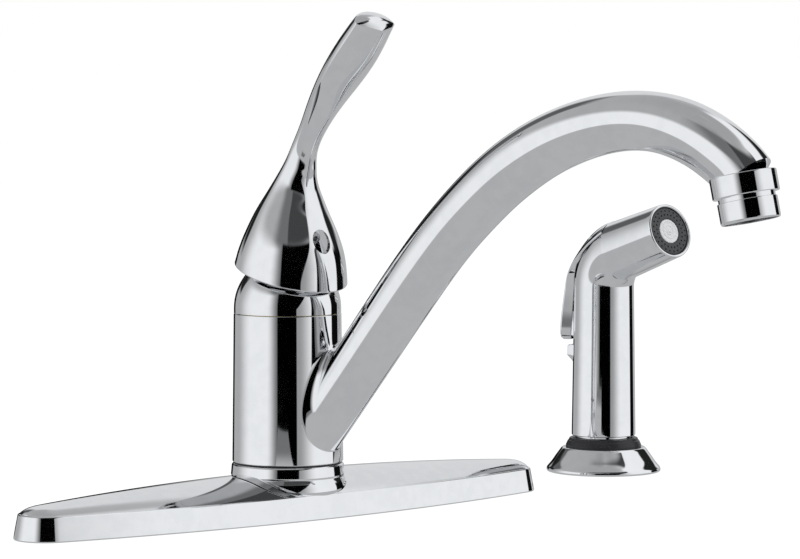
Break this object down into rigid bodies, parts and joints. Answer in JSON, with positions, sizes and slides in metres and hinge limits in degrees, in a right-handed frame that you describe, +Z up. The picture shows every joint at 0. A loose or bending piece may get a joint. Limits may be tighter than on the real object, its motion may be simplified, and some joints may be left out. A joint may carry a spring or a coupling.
{
  "type": "kitchen faucet",
  "caption": "Chrome kitchen faucet on a deck plate: a tilting and turning lever over a swinging spout, and a lift-out side sprayer with a thumb lever.",
  "frame": {"origin": "on the valve's axis, on the gasket's underside, which is the top of the deck", "axes": "+X along the deck plate towards the sprayer, +Y away from the user, +Z up; the user is at -Y"},
  "size_m": [0.3623, 0.2686, 0.2641],
  "materials": {
    "chrome": "polished",
    "brass": "machined",
    "steel": "machined",
    "black_plastic": "moulded",
    "white_plastic": "moulded",
    "rubber": "moulded",
    "ceramic": "lapped"
  },
  "bodies": {
    "base": {"deck_plate": "chrome", "deck_gasket": "rubber", "mounting_studs": "steel", "stud_washers": "steel", "stud_nuts": "white_plastic", "valve_body": "brass", "supply_inlets": "brass", "spray_outlet": "brass", "lower_o_ring": "rubber", "upper_o_ring": "rubber", "glide_ring": "black_plastic", "cartridge_seals": "rubber", "cartridge_base": "white_plastic", "fixed_disc": "ceramic", "cartridge_housing": "white_plastic", "retaining_nut": "brass", "bonnet_cap": "chrome", "spray_flange": "chrome", "spray_guide": "black_plastic", "guide_washer": "rubber", "guide_nut": "white_plastic"},
    "diverter": {"diverter": "white_plastic"},
    "spout": {"spout": "chrome", "aerator_housing": "chrome", "aerator_insert": "black_plastic", "aerator_washer": "rubber"},
    "rotor": {"cartridge_rotor": "black_plastic", "stem_pin": "steel"},
    "handle": {"stem": "steel", "handle": "chrome", "set_screw": "steel"},
    "disc_slider": {"disc_carrier": "white_plastic", "moving_disc": "ceramic"},
    "sprayer": {"spray_body": "chrome", "spray_valve": "white_plastic", "nozzle_ring": "black_plastic", "spray_disc": "white_plastic", "hose_connector": "black_plastic", "trigger_pin": "steel", "plunger_spring": "steel"},
    "trigger": {"trigger": "chrome"},
    "plunger": {"plunger": "brass"}
  },
  "joints": [
    {"name": "diverter_slide", "type": "slide", "parent": "base", "child": "diverter", "axis": [0, 1, 0], "range_m": [-0.0015, 0.0015]},
    {"name": "spout_swivel", "type": "hinge", "parent": "base", "child": "spout", "pos_m": [0, 0, 0.05], "axis": [0, 0, 1], "range_deg": [-76, 44]},
    {"name": "handle_turn", "type": "hinge", "parent": "base", "child": "rotor", "pos_m": [0, 0, 0.085], "axis": [0, 0, 1], "range_deg": [-50, 50]},
    {"name": "handle_tilt", "type": "hinge", "parent": "rotor", "child": "handle", "pos_m": [0, 0, 0.085], "axis": [-1, 0, 0], "range_deg": [0, 30]},
    {"name": "disc_slide", "type": "slide", "parent": "rotor", "child": "disc_slider", "axis": [0, 1, 0], "range_m": [-0.0063, 0]},
    {"name": "sprayer_lift", "type": "slide", "parent": "base", "child": "sprayer", "axis": [0, 0, 1], "range_m": [0, 0.12]},
    {"name": "trigger_press", "type": "hinge", "parent": "sprayer", "child": "trigger", "pos_m": [0.2032, 0.023, 0.106], "axis": [-1, 0, 0], "range_deg": [0, 5], "stiffness_Nm_per_rad": 0.5, "springref_deg": -11.46},
    {"name": "plunger_push", "type": "slide", "parent": "sprayer", "child": "plunger", "axis": [0, -1, 0], "range_m": [0, 0.0029], "deforming": ["plunger_spring"]}
  ],
  "couplings": [
    {"joint": "disc_slide", "follows": "handle_tilt", "m_per_rad": -0.01186},
    {"joint": "plunger_push", "follows": "trigger_press", "m_per_rad": 0.032}
  ]
}
